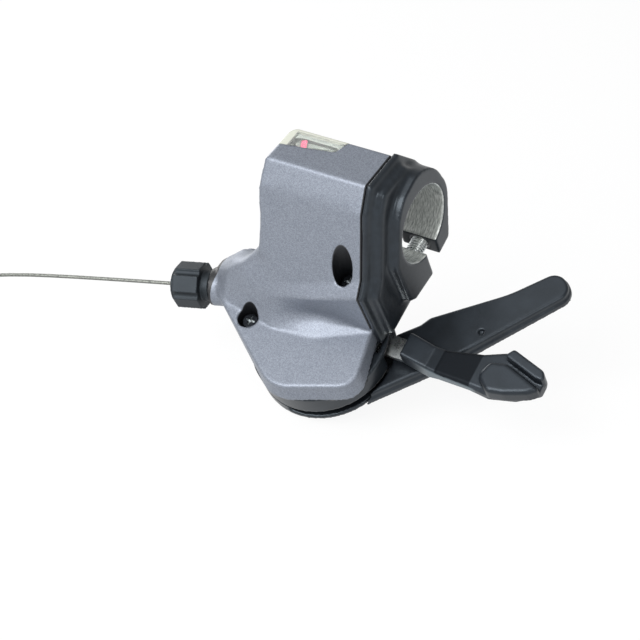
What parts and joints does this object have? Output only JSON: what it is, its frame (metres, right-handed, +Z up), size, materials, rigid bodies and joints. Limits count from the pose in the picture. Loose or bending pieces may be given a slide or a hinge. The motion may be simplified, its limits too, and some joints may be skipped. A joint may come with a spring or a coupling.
{
  "type": "trigger gear shifter",
  "caption": "Handlebar gear shifter pod with a winding lever, a release lever, a clamp ring, a gear indicator and a barrel adjuster with its cable.",
  "frame": {"origin": "centre of the clamp's bore for the handlebar", "axes": "+X along the handlebar towards the grip, +Y towards the rider, +Z up"},
  "size_m": [0.2222, 0.0651, 0.08],
  "materials": {
    "silver_paint": "satin metallic paint",
    "case_plastic": "satin moulded",
    "bracket_paint": "matt black paint on cast aluminium",
    "zinc_steel": "zinc plated",
    "black_steel": "black oxide",
    "dark_steel": "black plated",
    "spring_steel": "bright spring steel",
    "lever_plastic": "fine moulded texture",
    "adjuster_plastic": "satin moulded",
    "nylon": "moulded",
    "alloy": "turned",
    "clear_lens": "clear moulded",
    "dial_plastic": "printed plate",
    "needle_red": "moulded",
    "cable_steel": "drawn wire",
    "tie_plastic": "moulded"
  },
  "bodies": {
    "body": {"adjuster_spring": "spring_steel", "base_cover": "case_plastic", "bottom_cover": "case_plastic", "bottom_screws": "black_steel", "cable_coil": "cable_steel", "cable_run": "cable_steel", "cable_tail": "cable_steel", "cable_tie": "tie_plastic", "clamp_bolt": "zinc_steel", "clamp_bracket": "bracket_paint", "cover_screws": "black_steel", "indicator_dial": "dial_plastic", "indicator_window": "clear_lens", "main_cover": "silver_paint", "main_lever_spring": "spring_steel", "main_shaft": "zinc_steel", "mechanism_plate": "zinc_steel", "needle_pin": "zinc_steel", "plate_screws": "black_steel", "positioning_pawl_pin": "zinc_steel", "positioning_pawl_spring": "spring_steel", "release_lever_spring": "spring_steel", "shaft_nut": "zinc_steel", "shaft_washer": "zinc_steel", "spring_arbor": "nylon", "winder_spring": "spring_steel"},
    "main_lever": {"main_lever_plate": "dark_steel", "main_lever_paddle": "lever_plastic", "winding_pawl": "zinc_steel", "winding_pawl_pin": "zinc_steel", "winding_pawl_spring": "spring_steel"},
    "release_lever": {"release_lever_plate": "zinc_steel", "release_lever_knob": "lever_plastic"},
    "winder": {"winder_drum": "nylon", "ratchet_plate": "zinc_steel", "cable_head": "cable_steel"},
    "positioning_pawl": {"positioning_pawl": "zinc_steel"},
    "indicator_needle": {"indicator_needle": "needle_red"},
    "adjuster": {"adjuster_knob": "adjuster_plastic", "adjuster_barrel": "alloy"}
  },
  "joints": [
    {"name": "main_lever_hinge", "type": "hinge", "parent": "body", "child": "main_lever", "pos_m": [-0.0185, -0.0124, -0.04066], "axis": [0, -0.5, 0.866], "range_deg": [-35, 0], "stiffness_Nm_per_rad": 0.05, "springref_deg": 17.19},
    {"name": "release_lever_hinge", "type": "hinge", "parent": "body", "child": "release_lever", "pos_m": [-0.0185, -0.0124, -0.04066], "axis": [0, -0.5, 0.866], "range_deg": [0, 20], "stiffness_Nm_per_rad": 0.05, "springref_deg": -17.19},
    {"name": "winder_hinge", "type": "hinge", "parent": "body", "child": "winder", "pos_m": [-0.0185, -0.0124, -0.04066], "axis": [0, -0.5, 0.866], "range_deg": [-36, 0], "stiffness_Nm_per_rad": 0.04, "springref_deg": 17.19},
    {"name": "positioning_pawl_hinge", "type": "hinge", "parent": "body", "child": "positioning_pawl", "pos_m": [-0.00828, -0.00257, -0.03152], "axis": [0, -0.5, 0.866], "range_deg": [0, 8.5]},
    {"name": "needle_hinge", "type": "hinge", "parent": "body", "child": "indicator_needle", "pos_m": [-0.0248, -0.01363, 0.01762], "axis": [0, -0.2655, 0.9641], "range_deg": [-41, 0]},
    {"name": "adjuster_turn", "type": "hinge", "parent": "body", "child": "adjuster", "pos_m": [-0.0569, -0.01139, -0.03436], "axis": [-0.9677, -0.2183, -0.126], "continuous": true}
  ],
  "couplings": [
    {"joint": "positioning_pawl_hinge", "follows": "release_lever_hinge", "ratio": 0.4},
    {"joint": "needle_hinge", "follows": "winder_hinge", "ratio": 1.1}
  ]
}
